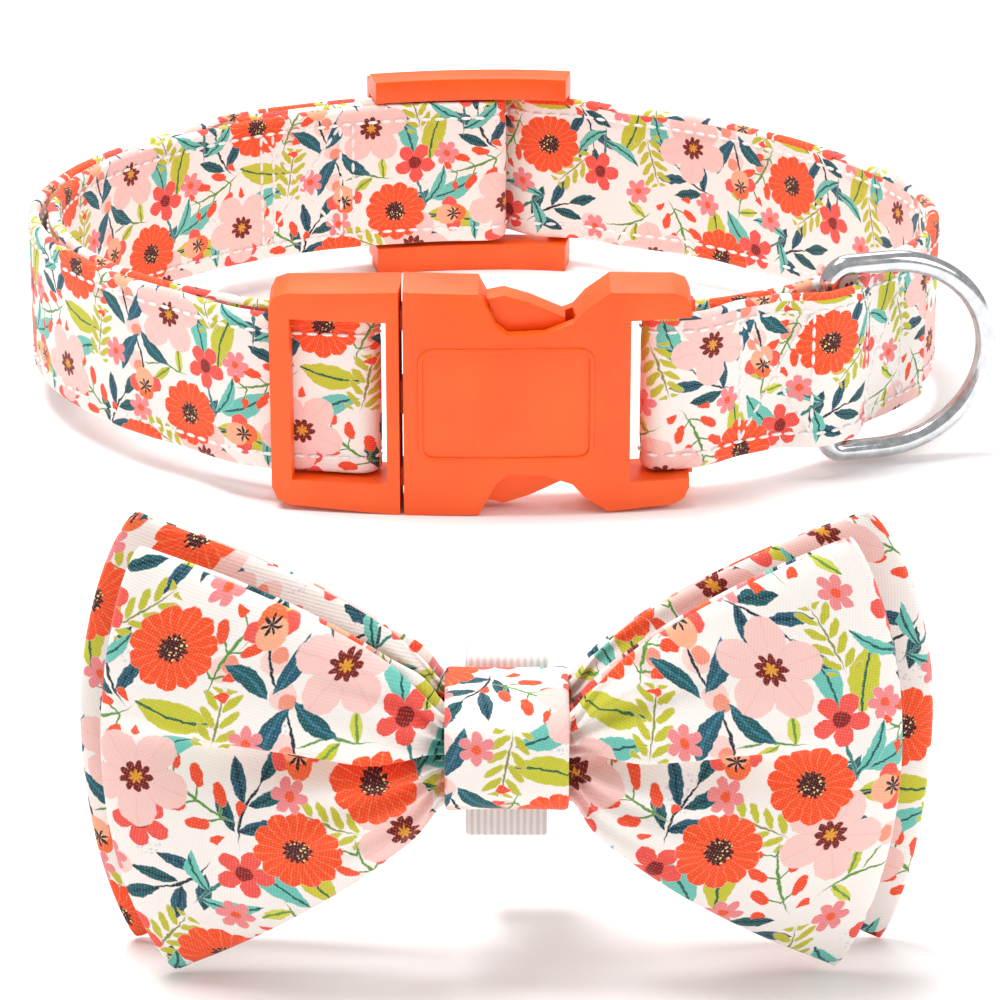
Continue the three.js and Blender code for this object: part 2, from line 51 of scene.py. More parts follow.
ORIGIN_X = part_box("buckle_socket")[0][0] / MM - PARTING_X
ORIGIN_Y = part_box("bow_knot")[0][1] / MM - KNOT_FRONT_Y


def place(x, y, z):
    return Vector(((x + ORIGIN_X) * MM, (y + ORIGIN_Y) * MM, z * MM))


CAMERA_TILT = math.radians(23)
CAMERA_DISTANCE, AIM_BELOW = 709.8, 22.1
camera = bpy.data.objects.new("camera", bpy.data.cameras.new("camera"))
bpy.context.scene.collection.objects.link(camera)
camera.data.lens = 156.2
camera.data.clip_end = 20
camera.location = place(
    0,
    -CAMERA_DISTANCE * math.cos(CAMERA_TILT),
    CAMERA_DISTANCE * math.sin(CAMERA_TILT) - AIM_BELOW,
)
camera.rotation_euler = (math.pi / 2 - CAMERA_TILT, 0, 0)
bpy.context.scene.camera = camera
bpy.context.scene.view_settings.view_transform = "Standard"

for name, spot, size, power in (
    ("key_lamp", (-0.4, 0.1, 1.6), 0.6, 25),
    ("side_lamp", (1.1, -0.5, 0.8), 0.7, 4.5),
    ("back_lamp", (0.1, 1.2, 1.3), 1.0, 9),
):
    lamp = bpy.data.objects.new(name, bpy.data.lights.new(name, "AREA"))
    bpy.context.scene.collection.objects.link(lamp)
    lamp.data.energy = power
    lamp.data.size = size
    lamp.location = spot
    lamp.rotation_euler = (-Vector(spot)).to_track_quat("-Z", "Y").to_euler()

world = bpy.data.worlds.new("daylight")
bpy.context.scene.world = world
world.use_nodes = True
world.node_tree.nodes["Background"].inputs["Color"].default_value = (1, 1, 1, 1)
world.node_tree.nodes["Background"].inputs["Strength"].default_value = 0.5


def linear(hex_colour):
    """An sRGB hex colour as linear red, green, blue and alpha."""
    parts = [int(hex_colour[i : i + 2], 16) / 255 for i in (0, 2, 4)]
    return (*((c / 12.92 if c <= 0.04045 else ((c + 0.055) / 1.055) ** 2.4) for c in parts), 1)


def wire(tree, kind, values=(), out=0, **settings):
    """Adds a node, sets it, and gives each input its value or its link; returns one output."""
    made = tree.nodes.new(kind)
    for key, setting in settings.items():
        setattr(made, key, setting)
    pairs = values.items() if isinstance(values, dict) else enumerate(values)
    for key, value in pairs:
        if isinstance(value, bpy.types.NodeSocket):
            tree.links.new(value, made.inputs[key])
        elif value is not None:
            made.inputs[key].default_value = value
    return made.outputs[out]


def new_material(name):
    material = bpy.data.materials.new(name)
    material.use_nodes = True
    return material, material.node_tree, material.node_tree.nodes["Principled BSDF"]


def new_piece(name, bm, material, body="collar", smooth=True):
    """Makes a mesh object from a bmesh, in metres, and lets it ride on its body."""
    mesh = bpy.data.meshes.new(name)
    bm.to_mesh(mesh)
    bm.free()
    for face in mesh.polygons:
        face.use_smooth = smooth
    mesh.materials.append(material)
    piece = bpy.data.objects.new(name, mesh)
    bpy.context.scene.collection.objects.link(piece)
    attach(piece, body)
    return piece


table_paint, tree, surface = new_material("matt_white_table")
surface.inputs["Base Color"].default_value = linear("FFFFFF")
surface.inputs["Roughness"].default_value = 0.9
table_mesh = bmesh.new()
bmesh.ops.create_grid(table_mesh, x_segments=1, y_segments=1, size=4)
table = bpy.data.objects.new("table", bpy.data.meshes.new("table"))
table_mesh.to_mesh(table.data)
table_mesh.free()
table.data.materials.append(table_paint)
bpy.context.scene.collection.objects.link(table)

# ---- printed cotton ---------------------------------------------------------------------------
# Cream quilting cotton, screen printed with a scatter of small garden flowers, leaves and berries.
# The weave is about 0.3 mm; it is drawn at 0.5 mm so that it shows. Motifs are laid out on a tile
# in millimetres of cloth, which the piece's own UV map gives.
TILE = (47.0, 42.0, 1.0)


def soft(tree, field, sharpness=7.0):
    return wire(tree, "ShaderNodeMath", (field, sharpness), operation="MULTIPLY", use_clamp=True)


def paint(tree, picture, colour, mask):
    """Lays one flat ink over a picture, which is a colour and the cover that it has so far."""
    under, cover = picture
    ink = linear(colour) if isinstance(colour, str) else colour
    mixed = wire(tree, "ShaderNodeMix", {0: mask, 6: under, 7: ink}, out=2, data_type="RGBA")
    return mixed, wire(tree, "ShaderNodeMath", (cover, mask), operation="MAXIMUM")


def moved(tree, vector, x=0.0, y=0.0, turn=0.0, scale=1.0):
    """The vector as seen from a motif that sits at x, y and is turned by some degrees."""
    return wire(
        tree,
        "ShaderNodeMapping",
        (vector, (x, y, 0), (0, 0, math.radians(turn)), (scale, scale, 1)),
        vector_type="TEXTURE",
    )


def petals(tree, vector, count, reach, waist, power=1.0, start=0.0):
    """Cover of a flower head with petals round its middle."""
    parts = wire(tree, "ShaderNodeSeparateXYZ", (vector,))
    x, y = parts, parts.node.outputs[1]
    angle = wire(tree, "ShaderNodeMath", (y, x), operation="ARCTAN2")
    wave = wire(tree, "ShaderNodeMath", (angle, count / 2, start), operation="MULTIPLY_ADD")
    wave = wire(tree, "ShaderNodeMath", (wave,), operation="COSINE")
    wave = wire(tree, "ShaderNodeMath", (wave,), operation="ABSOLUTE")
    wave = wire(tree, "ShaderNodeMath", (wave, power), operation="POWER")
    edge = wire(
        tree, "ShaderNodeMath", (wave, reach * (1 - waist), reach * waist), operation="MULTIPLY_ADD"
    )
    radius = wire(tree, "ShaderNodeVectorMath", (vector,), out=1, operation="LENGTH")
    return soft(tree, wire(tree, "ShaderNodeMath", (edge, radius), operation="SUBTRACT"))


def disc(tree, vector, radius):
    length = wire(tree, "ShaderNodeVectorMath", (vector,), out=1, operation="LENGTH")
    return soft(tree, wire(tree, "ShaderNodeMath", (radius, length), operation="SUBTRACT"))


def leaf(tree, picture, vector, length, width, colour, rib=None, bend=0.0):
    """Paints a pointed leaf along the vector's X, and its midrib."""
    parts = wire(tree, "ShaderNodeSeparateXYZ", (vector,))
    x, y = parts, parts.node.outputs[1]
    square = wire(tree, "ShaderNodeMath", (x, x), operation="MULTIPLY")
    half = wire(
        tree, "ShaderNodeMath", (square, -width / length**2, width), operation="MULTIPLY_ADD"
    )
    away = wire(tree, "ShaderNodeMath", (square, -bend, y), operation="MULTIPLY_ADD")
    away = wire(tree, "ShaderNodeMath", (away,), operation="ABSOLUTE")
    inside = soft(tree, wire(tree, "ShaderNodeMath", (half, away), operation="SUBTRACT"))
    picture = paint(tree, picture, colour, inside)
    if rib:
        line = wire(tree, "ShaderNodeMath", (away, 0.16), operation="LESS_THAN")
        line = wire(tree, "ShaderNodeMath", (line, inside), operation="MULTIPLY")
        picture = paint(tree, picture, rib, line)
    return picture


def motif(name, draw):
    """A node group that draws one motif round its own middle, in millimetres of cloth."""
    group = bpy.data.node_groups.new(name, "ShaderNodeTree")
    group.interface.new_socket("Vector", in_out="INPUT", socket_type="NodeSocketVector")
    group.interface.new_socket("Color", in_out="OUTPUT", socket_type="NodeSocketColor")
    group.interface.new_socket("Cover", in_out="OUTPUT", socket_type="NodeSocketFloat")
    spot = group.nodes.new("NodeGroupInput").outputs[0]
    colour, cover = draw(group, spot, (linear("F8F1EC"), 0.0))
    sink = group.nodes.new("NodeGroupOutput")
    group.links.new(colour, sink.inputs[0])
    group.links.new(cover, sink.inputs[1])
    return group


def rays(tree, vector, count, start=0.0, power=6.0):
    """Thin lines that run out from a flower's middle."""
    parts = wire(tree, "ShaderNodeSeparateXYZ", (vector,))
    angle = wire(tree, "ShaderNodeMath", (parts.node.outputs[1], parts), operation="ARCTAN2")
    wave = wire(tree, "ShaderNodeMath", (angle, count / 2, start), operation="MULTIPLY_ADD")
    wave = wire(tree, "ShaderNodeMath", (wave,), operation="SINE")
    wave = wire(tree, "ShaderNodeMath", (wave,), operation="ABSOLUTE")
    wave = wire(tree, "ShaderNodeMath", (1.0, wave), operation="SUBTRACT")
    return wire(tree, "ShaderNodeMath", (wave, power), operation="POWER")


def draw_poppy(tree, at, picture):
    head = petals(tree, at, 11, 5.3, 0.86, 0.6)
    picture = paint(tree, picture, "F9501E", head)
    lines = wire(tree, "ShaderNodeMath", (rays(tree, at, 22, power=9.0), head), operation="MULTIPLY")
    lines = wire(tree, "ShaderNodeMath", (lines, 0.6), operation="MULTIPLY")
    picture = paint(tree, picture, "FFB27A", lines)
    eye = petals(tree, at, 14, 1.9, 0.72)
    picture = paint(tree, picture, "4A1418", eye)
    seeds = wire(tree, "ShaderNodeTexVoronoi", {"Vector": at, "Scale": 1.9, "Randomness": 0.6})
    seeds = wire(tree, "ShaderNodeMath", (seeds, 0.3), operation="LESS_THAN")
    seeds = wire(tree, "ShaderNodeMath", (seeds, eye), operation="MULTIPLY")
    return paint(tree, picture, "F5D98B", seeds)


def draw_blossom(tree, at, picture):
    head = petals(tree, at, 5, 6.4, 0.58, 0.7)
    picture = paint(tree, picture, "F9CBC4", head)
    lines = wire(tree, "ShaderNodeMath", (rays(tree, at, 10, power=12.0), head), operation="MULTIPLY")
    lines = wire(tree, "ShaderNodeMath", (lines, 0.45), operation="MULTIPLY")
    picture = paint(tree, picture, "F3A08F", lines)
    star = petals(tree, at, 9, 2.1, 0.6, 0.8)
    picture = paint(tree, picture, "7A1A12", star)
    return paint(tree, picture, "E39A2D", petals(tree, at, 7, 0.95, 0.45))


def draw_coral(tree, at, picture):
    stem = moved(tree, at, 0.3, -4.6, 84)
    picture = leaf(tree, picture, stem, 4.4, 0.32, "2F7F7C")
    picture = leaf(tree, picture, moved(tree, at, -2.9, -5.2, -48), 3.9, 1.05, "6CC3B4", "1E5F5C", 0.06)
    picture = leaf(tree, picture, moved(tree, at, 3.6, -4.9, 22), 3.7, 1.0, "6CC3B4", "1E5F5C", 0.06)
    picture = paint(tree, picture, "F2554A", petals(tree, at, 5, 3.6, 0.36, 0.55, 0.4))
    return paint(tree, picture, "8E1B1B", disc(tree, at, 1.1))


def draw_daisy(tree, at, picture):
    picture = paint(tree, picture, "F08A8C", petals(tree, at, 6, 2.3, 0.5, 0.6))
    return paint(tree, picture, "F2592B", disc(tree, at, 0.65))


def draw_tulip(tree, at, picture):
    picture = leaf(tree, picture, moved(tree, at, 0.2, -4.2, 86), 4.2, 0.3, "1E2A33", None, 0.03)
    picture = leaf(tree, picture, moved(tree, at, -2.6, -5.0, -52), 3.9, 1.25, "20586C", "2F7487", 0.05)
    picture = leaf(tree, picture, moved(tree, at, 2.7, -5.1, 50), 3.6, 1.2, "15595F", "2F7487", -0.05)
    for x, y, radius, ink in (
        (-1.9, 0.3, 1.35, "F0584D"),
        (1.9, 0.3, 1.35, "F0584D"),
        (0.0, 1.2, 1.7, "F6703C"),
        (0.0, -0.5, 1.9, "F9B08B"),
    ):
        picture = paint(tree, picture, ink, disc(tree, moved(tree, at, x, y), radius))
    comb = moved(tree, at, 0, 0.65, 0)
    return paint(tree, picture, "2A2326", petals(tree, comb, 7, 1.35, 0.12, 1.5))


def draw_berries(tree, at, picture):
    picture = leaf(tree, picture, at, 6.4, 0.3, "5D9436", None, 0.03)
    parts = wire(tree, "ShaderNodeSeparateXYZ", (at,))
    side = wire(tree, "ShaderNodeMath", (parts.node.outputs[1],), operation="ABSOLUTE")
    lean = wire(tree, "ShaderNodeMath", (side, -0.75, parts), operation="MULTIPLY_ADD")
    step = wire(tree, "ShaderNodeMath", (lean, 1.7, -1.7), operation="WRAP")
    long = wire(tree, "ShaderNodeMath", (parts,), operation="ABSOLUTE")
    end = wire(tree, "ShaderNodeMath", (long, 4.9), operation="LESS_THAN")
    twig = wire(tree, "ShaderNodeMath", (step,), operation="ABSOLUTE")
    twig = soft(tree, wire(tree, "ShaderNodeMath", (0.24, twig), operation="SUBTRACT"))
    short = wire(tree, "ShaderNodeMath", (side, 2.2), operation="LESS_THAN")
    twig = wire(tree, "ShaderNodeMath", (twig, short), operation="MULTIPLY")
    twig = wire(tree, "ShaderNodeMath", (twig, end), operation="MULTIPLY")
    picture = paint(tree, picture, "5D9436", twig)
    across = wire(tree, "ShaderNodeMath", (side, 2.3), operation="SUBTRACT")
    spot = wire(tree, "ShaderNodeCombineXYZ", (step, across, 0.0))
    ball = wire(tree, "ShaderNodeMath", (disc(tree, spot, 1.12), end), operation="MULTIPLY")
    return paint(tree, picture, "F4502A", ball)


def draw_fern(tree, at, picture):
    parts = wire(tree, "ShaderNodeSeparateXYZ", (at,))
    side = wire(tree, "ShaderNodeMath", (parts.node.outputs[1],), operation="ABSOLUTE")
    lean = wire(tree, "ShaderNodeMath", (side, -0.8, parts), operation="MULTIPLY_ADD")
    step = wire(tree, "ShaderNodeMath", (lean, 0.95, -0.95), operation="WRAP")
    across = wire(tree, "ShaderNodeMath", (side, 1.25), operation="SUBTRACT")
    across = wire(tree, "ShaderNodeMath", (across, 0.62), operation="MULTIPLY")
    spot = wire(tree, "ShaderNodeCombineXYZ", (step, across, 0.0))
    long = wire(tree, "ShaderNodeMath", (parts,), operation="ABSOLUTE")
    end = wire(tree, "ShaderNodeMath", (long, 4.4), operation="LESS_THAN")
    blade = wire(tree, "ShaderNodeMath", (disc(tree, spot, 0.74), end), operation="MULTIPLY")
    picture = paint(tree, picture, "C3BF31", blade)
    return leaf(tree, picture, at, 5.6, 0.24, "8B8D2A")


def draw_leaf_sprig(tree, at, picture):
    picture = leaf(tree, picture, at, 5.6, 0.3, "1E2A33", None, 0.05)
    for x, y, turn, ink in (
        (2.6, 2.2, 42, "15595F"),
        (2.6, -1.9, -38, "20586C"),
        (-1.3, 2.4, 50, "20586C"),
        (-1.2, -2.0, -46, "15595F"),
        (6.2, 0.9, 8, "15595F"),
    ):
        picture = leaf(tree, picture, moved(tree, at, x, y, turn), 2.9, 0.98, ink, "0E3A44")
    return picture


def draw_broad_leaves(tree, at, picture):
    picture = leaf(tree, picture, moved(tree, at, -1.2, 1.4, 72), 4.9, 2.0, "C9C633", "2E6A45", 0.03)
    return leaf(tree, picture, moved(tree, at, 3.0, -0.6, 32), 4.8, 1.75, "6CC3B4", "1E5F5C", -0.04)


def draw_buds(tree, at, picture):
    picture = leaf(tree, picture, at, 5.8, 0.28, "5D9436", None, 0.05)
    picture = leaf(tree, picture, moved(tree, at, 1.8, -1.4, -38), 2.4, 0.24, "5D9436")
    picture = leaf(tree, picture, moved(tree, at, -2.2, 2.1, 60), 2.1, 0.85, "D5D454", "6D9A3A")
    picture = leaf(tree, picture, moved(tree, at, -0.3, -1.9, -62), 2.1, 0.85, "C9C633", "6D9A3A")
    for x, y in ((6.6, 1.8), (3.9, -3.3)):
        picture = paint(tree, picture, "FAD3CB", disc(tree, moved(tree, at, x + 0.8, y, 0), 1.7))
        picture = paint(tree, picture, "F4957C", disc(tree, moved(tree, at, x, y - 0.4), 1.1))
    return picture


MOTIFS = {
    "poppy": motif("print_poppy", draw_poppy),
    "blossom": motif("print_blossom", draw_blossom),
    "coral": motif("print_coral_flower", draw_coral),
    "daisy": motif("print_daisy", draw_daisy),
    "tulip": motif("print_tulip", draw_tulip),
    "berries": motif("print_berries", draw_berries),
    "fern": motif("print_fern", draw_fern),
    "sprig": motif("print_leaf_sprig", draw_leaf_sprig),
    "broad": motif("print_broad_leaves", draw_broad_leaves),
    "buds": motif("print_buds", draw_buds),
}
# For each motif its places on the tile in mm and its turns in degrees, from the lowest layer up.
LAYOUT = {
    "broad": ((38.0, 16.5, 15), (3.5, 37.5, -60), (22.5, 1.0, 35), (18.0, 30.5, 120)),
    "sprig": ((5.0, 17.0, -25), (43.0, 27.0, 118), (31.0, 9.0, 215), (12.5, 2.0, 70)),
    "fern": ((24.0, 6.5, 74), (33.5, 25.0, 24), (9.5, 9.5, 140), (46.0, 38.5, 100)),
    "buds": ((20.0, 18.0, 160), (32.5, 37.0, 25), (41.5, 9.5, -70)),
    "berries": ((29.5, 17.5, 70), (13.5, 37.5, -20), (1.5, 28.0, 40), (45.5, 5.0, 120)),
    "tulip": ((41.0, 7.5, -12), (18.0, 29.0, 80), (36.5, 33.0, 170)),
    "coral": ((14.5, 9.5, 8), (24.0, 38.5, -14), (44.5, 18.5, 60), (8.5, 25.0, 150)),
    "blossom": ((31.5, 3.0, 20), (8.5, 30.5, -15), (24.5, 23.5, 40)),
    "poppy": ((5.0, 5.5, 10), (27.5, 30.0, 70), (37.5, 21.5, 0)),
    "daisy": (
        (13.5, 19.5, 0), (42.5, 36.5, 30), (21.5, 12.0, 50), (37.5, 28.5, 12), (18.5, 40.0, 0),
        (0.5, 12.5, 20), (34.5, 12.5, 0),
    ),
}


def printed_cotton(name, shift):
    """The printed cloth, with the print moved by `shift` mm on this piece."""
    material, tree, surface = new_material(name)
    along = wire(tree, "ShaderNodeUVMap", uv_map="cloth")
    spot = wire(tree, "ShaderNodeVectorMath", (along, (*shift, 0)), operation="ADD")
    # Hand cut screens leave edges that waver by a few tenths of a millimetre.
    waver = wire(tree, "ShaderNodeTexNoise", {"Vector": spot, "Scale": 1.1, "Detail": 1.0}, out=1)
    waver = wire(tree, "ShaderNodeVectorMath", (waver, (0.5, 0.5, 0.5)), operation="SUBTRACT")
    waver = wire(tree, "ShaderNodeVectorMath", (waver, (0.55, 0.55, 0)), operation="MULTIPLY")
    inked = wire(tree, "ShaderNodeVectorMath", (spot, waver), operation="ADD")
    # Faint grey dabs of fine dots on the cream ground.
    dabs = wire(tree, "ShaderNodeTexVoronoi", {"Vector": inked, "Scale": 0.085})
    dabs = wire(tree, "ShaderNodeMath", (dabs, 0.2), operation="LESS_THAN")
    dots = wire(tree, "ShaderNodeTexVoronoi", {"Vector": inked, "Scale": 1.7, "Randomness": 0.5})
    dots = wire(tree, "ShaderNodeMath", (dots, 0.33), operation="LESS_THAN")
    dabs = wire(tree, "ShaderNodeMath", (dabs, dots), operation="MULTIPLY")
    dabs = wire(tree, "ShaderNodeMath", (dabs, 0.8), operation="MULTIPLY")
    picture = paint(tree, (linear("F9F1EB"), 0.0), "D9D6DB", dabs)
    half = tuple(side / 2 for side in TILE)
    back = tuple(-side for side in half)
    for kind, places in LAYOUT.items():
        near, shortest = None, None
        for x, y, turn in places:
            there = wire(tree, "ShaderNodeVectorMath", (inked, (x, y, 0)), operation="SUBTRACT")
            there = wire(tree, "ShaderNodeVectorMath", (there, half, back), operation="WRAP")
            there = moved(tree, there, turn=turn)
            away = wire(tree, "ShaderNodeVectorMath", (there,), out=1, operation="LENGTH")
            if near is None:
                near, shortest = there, away
                continue
            closer = wire(tree, "ShaderNodeMath", (away, shortest), operation="LESS_THAN")
            near = wire(
                tree, "ShaderNodeMix", {0: closer, 4: near, 5: there}, out=1, data_type="VECTOR"
            )
            shortest = wire(tree, "ShaderNodeMath", (away, shortest), operation="MINIMUM")
        drawn = wire(tree, "ShaderNodeGroup", node_tree=MOTIFS[kind])
        tree.links.new(near, drawn.node.inputs[0])
        picture = paint(tree, picture, drawn, drawn.node.outputs[1])
    # Weave: thread rows in both directions, whose high points hold less ink, and whose low points between
    # threads are painted up to a tenth darker as painted shade.
    thread = 2 * math.pi / 0.5
    turned = wire(
        tree,
        "ShaderNodeMapping",
        (spot, (0, 0, 0), (0, 0, math.radians(28)), (thread, thread, 1)),
    )
    parts = wire(tree, "ShaderNodeSeparateXYZ", (turned,))
    warp = wire(tree, "ShaderNodeMath", (parts,), operation="SINE")
    weft = wire(tree, "ShaderNodeMath", (parts.node.outputs[1],), operation="SINE")
    weave = wire(tree, "ShaderNodeMath", (warp, weft), operation="MULTIPLY")
    weave = wire(tree, "ShaderNodeMath", (weave, 0.5, 0.5), operation="MULTIPLY_ADD")
    fibre = wire(tree, "ShaderNodeTexNoise", {"Vector": spot, "Scale": 2.6, "Detail": 2.0})
    worn = wire(tree, "ShaderNodeMath", (weave, fibre), operation="MULTIPLY")
    worn = wire(tree, "ShaderNodeMapRange", (worn, 0.3, 0.62, 0.0, 0.2))
    worn_print = wire(
        tree, "ShaderNodeMix", {0: worn, 6: picture[0], 7: linear("F6ECE6")}, out=2, data_type="RGBA"
    )
    # Painted shade: the colour is darkened to 0.9 in the low points between threads.
    painted_weave_shade = wire(tree, "ShaderNodeMapRange", (weave, 0.0, 0.45, 0.9, 1.0))
    cloth = wire(
        tree, "ShaderNodeVectorMath", (worn_print, painted_weave_shade), operation="SCALE"
    )
    scale_node = cloth.node
    tree.links.new(painted_weave_shade, scale_node.inputs["Scale"])
    tree.links.new(cloth, surface.inputs["Base Color"])
    rough = wire(tree, "ShaderNodeMapRange", (fibre, 0.3, 0.7, 0.82, 0.95))
    tree.links.new(rough, surface.inputs["Roughness"])
    surface.inputs["Specular IOR Level"].default_value = 0.25
    surface.inputs["Sheen Weight"].default_value = 0.15
    surface.inputs["Sheen Roughness"].default_value = 0.5
    bump = wire(
        tree, "ShaderNodeBump", {"Strength": 0.35, "Distance": 0.0001, "Height": weave}
    )
    tree.links.new(bump, surface.inputs["Normal"])
    return material


# ---- strap --------------------------------------------------------------------------------------
# One band of printed cotton folded over 25 mm webbing and top stitched along both edges. It is sewn
# round the slider's middle bar, doubles back through the buckle's insert half and the slider, goes
# round the neck, and is sewn round the socket half's bar and the lead ring.
STRAP_WIDTH, PLY, GAP = 25.0, 2.0, 0.3
MIDDLE_Z = 17.7
FIRST_PLY = PLY / 2
SECOND_PLY = FIRST_PLY + PLY + GAP
THIRD_PLY = SECOND_PLY + PLY + GAP
FOURTH_PLY = THIRD_PLY + PLY + GAP
BUCKLE_CENTRE_X, BUCKLE_BACK_Y, BUCKLE_RADIUS = -3.0, -49.3, 160.0


def on_buckle_arc(x):
    sagitta = BUCKLE_RADIUS - math.sqrt(BUCKLE_RADIUS**2 - (x - BUCKLE_CENTRE_X) ** 2)
    return (x, BUCKLE_BACK_Y + sagitta)


NECK_PLAN = [
    *map(on_buckle_arc, (-3, -9, -15, -21, -27, -34)),
    (-41, -43), (-50.5, -37.4), (-59.8, -28.4), (-66.6, -16.5), (-69.6, -3), (-67.8, 8.5),
    (-62.4, 19.5), (-53.5, 29.4), (-41, 38.6), (-26, 45), (-10, 48.2), (5, 48.6), (18.5, 46.2),
    (32, 41), (45, 31.5), (56, 19.8), (63.8, 8), (67.2, -4), (65.5, -15.5), (58.5, -26),
    (50.3, -34), (40, -41.3),
    *map(on_buckle_arc, (28.3, 21, 15, 9, 3)),
]


def smooth_between(p0, p1, p2, p3, share):
    """A point between p1 and p2 on the smooth curve through four neighbours."""
    gaps = [max(1e-6, (b - a).length ** 0.5) for a, b in ((p0, p1), (p1, p2), (p2, p3))]
    lead = (p1 - p0) / gaps[0] - (p2 - p0) / (gaps[0] + gaps[1]) + (p2 - p1) / gaps[1]
    trail = (p2 - p1) / gaps[1] - (p3 - p1) / (gaps[1] + gaps[2]) + (p3 - p2) / gaps[2]
    lead, trail = lead * gaps[1], trail * gaps[1]
    square, cube = share * share, share**3
    return (
        p1 * (2 * cube - 3 * square + 1)
        + lead * (cube - 2 * square + share)
        + p2 * (3 * square - 2 * cube)
        + trail * (cube - square)
    )


plan = [Vector(p) for p in NECK_PLAN]
STEPS = 60
neck = []
for i in range(len(plan)):
    around = [plan[(i + k) % len(plan)] for k in (-1, 0, 1, 2)]
    neck += [smooth_between(*around, j / STEPS) for j in range(STEPS)]
neck.append(neck[0])
measured = [0.0]
for a, b in zip(neck, neck[1:]):
    measured.append(measured[-1] + (b - a).length)
NECK_LENGTH = measured[-1]


def neck_at(along):
    along %= NECK_LENGTH
    i = min(len(neck) - 2, bisect.bisect_right(measured, along) - 1)
    share = (along - measured[i]) / (measured[i + 1] - measured[i])
    return neck[i].lerp(neck[i + 1], share)


def plan_point(along, outward):
    """A place in the plan, by its distance along the neck line and outward from it."""
    tangent = (neck_at(along + 0.4) - neck_at(along - 0.4)).normalized()
    return neck_at(along) + Vector((-tangent.y, tangent.x)) * outward


def along_nearest(x, y):
    near = min(range(len(neck) - 1), key=lambda i: (neck[i] - Vector((x, y))).length)
    return measured[near]


FOLD_RADIUS = (THIRD_PLY - FIRST_PLY) / 2
FOLD_REACH = FOLD_RADIUS + PLY / 2
insert_fold = BUCKLE_CENTRE_X + 17.3 + FOLD_REACH
socket_fold = NECK_LENGTH - (20.5 - BUCKLE_CENTRE_X) - FOLD_REACH
slider_left = along_nearest(-20.7, 46)
slider_right = slider_left + 32
slider_fold = along_nearest(1, 48.6) - FOLD_REACH
sewn_end = slider_fold - 42
flap_end = along_nearest(62.5, -21)
ring_bar = along_nearest(47.4, -36.6)
WIRE = 3.2
RING_BAR_OUTWARD = PLY + GAP + WIRE / 2
OVER_RING = RING_BAR_OUTWARD + WIRE / 2 + GAP + PLY / 2

SEWN_STOPS = (
    (sewn_end, SECOND_PLY),
    (slider_left + 4, SECOND_PLY),
    (slider_fold - 4, THIRD_PLY),
)
OUTER_STOPS = (
    (insert_fold, THIRD_PLY),
    (insert_fold + 16, THIRD_PLY),
    (insert_fold + 30, SECOND_PLY),
    (insert_fold + 42, SECOND_PLY),
    (insert_fold + 66, SECOND_PLY + 0.9),
    (insert_fold + 90, SECOND_PLY),
    (sewn_end - 9, SECOND_PLY),
    (sewn_end - 1, THIRD_PLY),
    (slider_left + 4.4, THIRD_PLY),
    (slider_fold - 5, FOURTH_PLY),
    (slider_fold + 1, FOURTH_PLY),
    (slider_right - 4.4, SECOND_PLY),
    (slider_right + 1, SECOND_PLY),
    (slider_right + 12, FIRST_PLY),
)
FLAP_STOPS = (
    (flap_end, SECOND_PLY),
    (ring_bar - 9, SECOND_PLY),
    (ring_bar - 2, OVER_RING),
    (ring_bar + 2, OVER_RING),
    (ring_bar + 9, SECOND_PLY),
    (socket_fold - 12, SECOND_PLY),
    (socket_fold - 4, THIRD_PLY),
)


def level_on(stops, along):
    for (start, low), (end, high) in zip(stops, stops[1:]):
        if along <= end:
            share = min(1.0, max(0.0, (along - start) / (end - start)))
            return low + (high - low) * share * share * (3 - 2 * share)
    return stops[-1][1]


route = []


def run_strap(start, end, level, step=1.1):
    count = max(1, math.ceil(abs(end - start) / step))
    for i in range(count + 1):
        along = start + (end - start) * i / count
        route.append((along, level(along)))


def fold_strap(centre, side, starts_inside):
    turns = 12
    for i in range(1, turns):
        share = i / turns if starts_inside else 1 - i / turns
        angle = (share - 0.5) * math.pi
        middle = (FIRST_PLY + THIRD_PLY) / 2
        route.append(
            (
                centre + side * FOLD_RADIUS * math.cos(angle),
                middle + FOLD_RADIUS * math.sin(angle),
            )
        )


run_strap(sewn_end, slider_fold, lambda s: level_on(SEWN_STOPS, s))
fold_strap(slider_fold, 1, False)
run_strap(slider_fold, insert_fold, lambda s: FIRST_PLY)
fold_strap(insert_fold, -1, True)
run_strap(insert_fold, socket_fold, lambda s: level_on(OUTER_STOPS, s))
fold_strap(socket_fold, 1, True)
run_strap(socket_fold, flap_end, lambda s: level_on(FLAP_STOPS, s))

line = [plan_point(*row) for row in route]
across = []
for i in range(len(line)):
    run = line[min(i + 1, len(line) - 1)] - line[max(i - 1, 0)]
    across.append(Vector((run.y, -run.x)).normalized())
travel = [0.0]
for a, b in zip(line, line[1:]):
    travel.append(travel[-1] + (b - a).length)
STRAP_LENGTH = travel[-1]


def on_strap(distance, height, off):
    """A point by its distance along the strap, height from its middle, and offset from its plane."""
    i = min(len(line) - 2, max(0, bisect.bisect_right(travel, distance) - 1))
    share = (distance - travel[i]) / (travel[i + 1] - travel[i])
    spot = line[i].lerp(line[i + 1], share)
    side = across[i].lerp(across[i + 1], share).normalized()
    return place(spot.x + side.x * off, spot.y + side.y * off, MIDDLE_Z + height)


def travel_at(along, first, last):
    """The distance along the strap where one of its runs passes a place on the neck line."""
    rows = range(first, last)
    return travel[min(rows, key=lambda i: abs(route[i][0] - along))]


